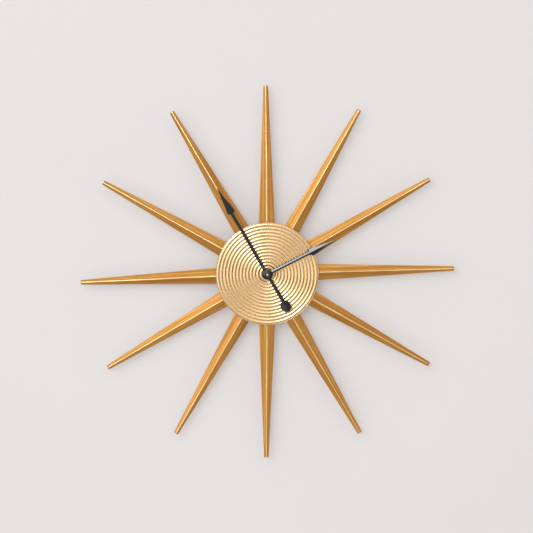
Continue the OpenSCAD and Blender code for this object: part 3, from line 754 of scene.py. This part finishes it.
def hand_section(heading, along, half, base, top):
    """A loop round a folded blade: over the fold from right to left, and back underneath."""

    def slope(across, under=0.0):
        """A point of the blade's right side, or of the same side so far under it."""
        return across, top - under - FOLD_SLOPE * across

    crest_limit = 0.3
    crest_turn = 0.4
    crest_drop = 0.55
    crest = min(HAND_CREST, half * crest_limit)
    edge_top = top - FOLD_SLOPE * half
    over = [(half, edge_top - HAND_EDGE), (half * TURNED_SHARE, edge_top - EDGE_ROUND)]
    over += [slope(half * share) for share in SIDE_LINES]
    over += [slope(crest * share) for share in CREST_LINES]
    over.append((crest * crest_turn, top - FOLD_SLOPE * crest * crest_drop))
    under = [slope(crest, HAND_SHEET), (half * UNDER_SHARE, edge_top - HAND_SHEET)]
    loop = over + mirrored(over) + mirrored(under) + under
    return [turned(heading, x, along, max(base, y)) for x, y in loop]


def make_hand(node, body, hub_r, has_tail):
    """A hand's folded blade: a rod that widens into a spade, and a tail with an oval end."""
    heading = heading_of(node)
    points = own_places(node, heading)
    base, top = outs(node)
    length = max(along for _, along, _ in points)
    tail = -min(along for _, along, _ in points)
    neck = length - SPADE_LENGTH
    half_spade = max(abs(x) for x, along, _ in points if along > neck)
    start = hub_r - 1 * MM
    spade_steps = 40
    crowding = 1.25
    last_line = 0.4 * MM
    stations = evenly(start, neck, 6)
    stations += [
        neck + SPADE_LENGTH * (i / spade_steps) ** crowding for i in range(1, spade_steps)
    ]
    stations += [length - last_line, length]
    bm = bmesh.new()
    add_loops(bm, [
        hand_section(heading, a, spade_half_width(a, length, half_spade), base, top)
        for a in stations
    ])
    if has_tail:
        middle = TAIL_HALF_LENGTH - tail
        join = math.acos(ROD_HALF / TAIL_HALF_WIDTH)
        blunt_end = 0.1 - math.pi / 2
        loops = [hand_section(heading, -start, ROD_HALF, base, top)]
        for a in evenly(join, blunt_end, 24):
            half = TAIL_HALF_WIDTH * math.cos(a)
            along = middle + TAIL_HALF_LENGTH * math.sin(a)
            loops.append(hand_section(heading, along, half, base, top))
        add_loops(bm, loops)
    finish_mesh("folded_" + node, bm, body, "hand_black", sharp=14)


def make_hub(node, body, hub_r, bore_r):
    """A hand's round middle, with turned edges. It stands for the CAD hand with the blade."""
    base, _ = outs(node)
    edge = TURNED_EDGE
    top = base + HUB_THICKNESS
    profile = [(bore_r, base), (hub_r - edge, base)]
    profile += arc((hub_r - edge, base + edge), edge, -90, 0, steps=4)
    profile += arc((hub_r - edge, top - edge), edge, 0, 90, steps=4)
    profile += [(bore_r + edge, top), (bore_r, top - edge)]
    bm = bmesh.new()
    add_lathe(bm, profile, segments=96)
    finish_mesh(node + "_hub", bm, body, "hand_black", [node])


def make_hand_nut():
    """The open round nut: a flat rim round a deep dish that leads down to its bore."""
    base, top = outs("hand_nut")
    low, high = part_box("hand_nut")
    nut_r = (high.x - low.x) / 2
    bore = MINUTE_BORE_R
    edge = TURNED_EDGE
    rim_in = 3.6 * MM
    dish_depth = 1.2 * MM
    profile = [(bore, base), (nut_r - edge, base), (nut_r, base + edge)]
    profile += arc((nut_r - edge, top - edge), edge, 0, 90, steps=4)
    profile += [(rim_in + edge / 2, top), (rim_in, top - edge / 2)]
    profile += [(bore + edge, top - dish_depth), (bore, top - dish_depth)]
    bm = bmesh.new()
    add_lathe(bm, profile, segments=120)
    finish_mesh(
        "open_nut", bm, "minute_arbor", "hand_black", ["hand_nut"], finish="black_nickel"
    )


# ---------------------------------------------------------------- stage, light and camera


def stage_paint(name, low, high, glow):
    """Pale paint, lifted a little in its shadows, seen from the room only: clear from behind."""
    s = Shader(name)
    roller = s.noise(s.place(), scale=260.0, detail=5)
    clouds = s.noise(s.place(), scale=3.0, detail=2)
    colour = s.blend(clouds, low, high)
    normal = s.bump(roller, strength=0.12, depth=0.6 * MM)
    s.set(colour=colour, roughness=0.85, normal=normal, specular=0.2, glow_colour=colour,
          glow=glow)
    behind = s.node("NewGeometry").outputs["Backfacing"]
    clear = s.node("BsdfTransparent").outputs[0]
    mix = s.node("MixShader", {0: behind, 1: s.surface.outputs[0], 2: clear})
    s.feed(s.tree.nodes["Material Output"].inputs["Surface"], mix.outputs[0])
    return s.material


def make_stage():
    """A wall just behind the clock, facing the room, and a pale floor well below it."""
    wall_y = 0.4 * MM
    reach = 6.0
    floor_z = -1.8
    paints = {
        "wall": stage_paint("wall_paint", rgb(0.420, 0.401, 0.394), rgb(0.434, 0.415, 0.407), 0.6),
        "floor": stage_paint("floor_paint", rgb(0.46, 0.45, 0.44), rgb(0.50, 0.49, 0.48), 0.1),
    }
    corners = {
        "wall": [(-reach, wall_y, floor_z), (reach, wall_y, floor_z),
                 (reach, wall_y, reach), (-reach, wall_y, reach)],
        "floor": [(-reach, -reach, floor_z), (reach, -reach, floor_z),
                  (reach, reach, floor_z), (-reach, reach, floor_z)],
    }
    for name, points in corners.items():
        bm = bmesh.new()
        bm.faces.new([bm.verts.new(p) for p in points])
        mesh = bpy.data.meshes.new(name)
        bm.to_mesh(mesh)
        bm.free()
        mesh.materials.append(paints[name])
        sheet = bpy.data.objects.new(name, mesh)
        bpy.context.scene.collection.objects.link(sheet)
        sheet.visible_shadow = False


PLAIN = (1.0, 1.0, 1.0)
COOL = (0.93, 0.97, 1.0)


def panel(name, heading, off_axis, size, watts, colour=PLAIN):
    """A soft square light aimed at the dial.

    heading is where it stands round the clock, clockwise from 12, and off_axis is its angle from
    the line that leads straight out of the dial; both are in degrees.
    """
    distance = 5.0
    round_clock = math.radians(heading)
    tilt = math.radians(off_axis)
    side = distance * math.sin(tilt)
    place = face(side * math.sin(round_clock), side * math.cos(round_clock),
                 distance * math.cos(tilt))
    data = bpy.data.lights.new(name, "AREA")
    data.shape = "SQUARE"
    data.size = size
    data.energy = watts
    data.color = colour
    light = bpy.data.objects.new(name, data)
    light.location = place
    light.rotation_mode = "QUATERNION"
    light.rotation_quaternion = (face(0, 0, 0) - place).to_track_quat("-Z", "Y")
    bpy.context.scene.collection.objects.link(light)


def make_lights():
    """The panels with their heading, angle off the axis, size in metres and watts."""
    panel("key", 314, 29, 2.2, 62, COOL)
    panel("front", 300, 10, 2.0, 22)
    panel("glint", 324, 18, 1.0, 34, COOL)
    panel("left", 250, 40, 2.6, 24)
    panel("upper_left", 292, 58, 2.4, 14)
    panel("above", 20, 38, 2.2, 14)
    panel("upper_right", 60, 34, 2.0, 10)
    panel("right", 90, 59, 1.8, 18)
    panel("below", 212, 36, 2.2, 15)
    panel("behind", 50, 150, 3.2, 90)
    make_room_light()


def make_room_light():
    """Soft light from all round: brightest from the clock's upper left, dimmest opposite."""
    bright_side = math.radians(325)
    dim = rgb(0.06, 0.06, 0.063)
    bright = rgb(0.88, 0.885, 0.90)
    strength = 1.1
    world = bpy.data.worlds.new("studio")
    bpy.context.scene.world = world
    world.use_nodes = True
    s = Nodes(world.node_tree)
    place = s.node("TexCoord").outputs["Generated"]
    towards = (math.sin(bright_side), 0, math.cos(bright_side))
    along = s.node("VectorMath", {0: place, 1: towards}, operation="DOT_PRODUCT")
    share = s.ramp(along.outputs["Value"], -1, 1, 0, 1)
    background = s.tree.nodes["Background"]
    s.feed(background.inputs["Color"], s.blend(share, dim, bright))
    s.feed(background.inputs["Strength"], strength)


def make_camera():
    """The long lens looks slightly down at the clock, straight on from side to side."""
    lens = 125
    sensor = 36
    frame_width = 854.6 * MM
    rise = math.radians(5.8)
    aim = face(-1.3 * MM, 11.2 * MM, 25 * MM)
    distance = frame_width * lens / sensor
    data = bpy.data.cameras.new("camera")
    data.lens = lens
    data.sensor_width = sensor
    camera = bpy.data.objects.new("camera", data)
    back = Vector((0, -math.cos(rise), math.sin(rise)))
    camera.location = aim + back * distance
    camera.rotation_mode = "QUATERNION"
    camera.rotation_quaternion = (-back).to_track_quat("-Z", "Y")
    bpy.context.scene.collection.objects.link(camera)
    bpy.context.scene.camera = camera
    bpy.context.scene.view_settings.view_transform = "Standard"


# ---------------------------------------------------------------- the whole scene

make_camera()
dress_cad_nodes()
for ray_node in RAYS:
    make_ray(ray_node)
make_dial()
make_hand("hour_hand", "hour_arbor", HOUR_HUB_R, has_tail=False)
make_hub("hour_hand", "hour_arbor", HOUR_HUB_R, HOUR_BORE_R)
make_hand("minute_hand", "minute_arbor", MINUTE_HUB_R, has_tail=True)
make_hub("minute_hand", "minute_arbor", MINUTE_HUB_R, MINUTE_BORE_R)
make_hand_nut()
make_stage()
make_lights()
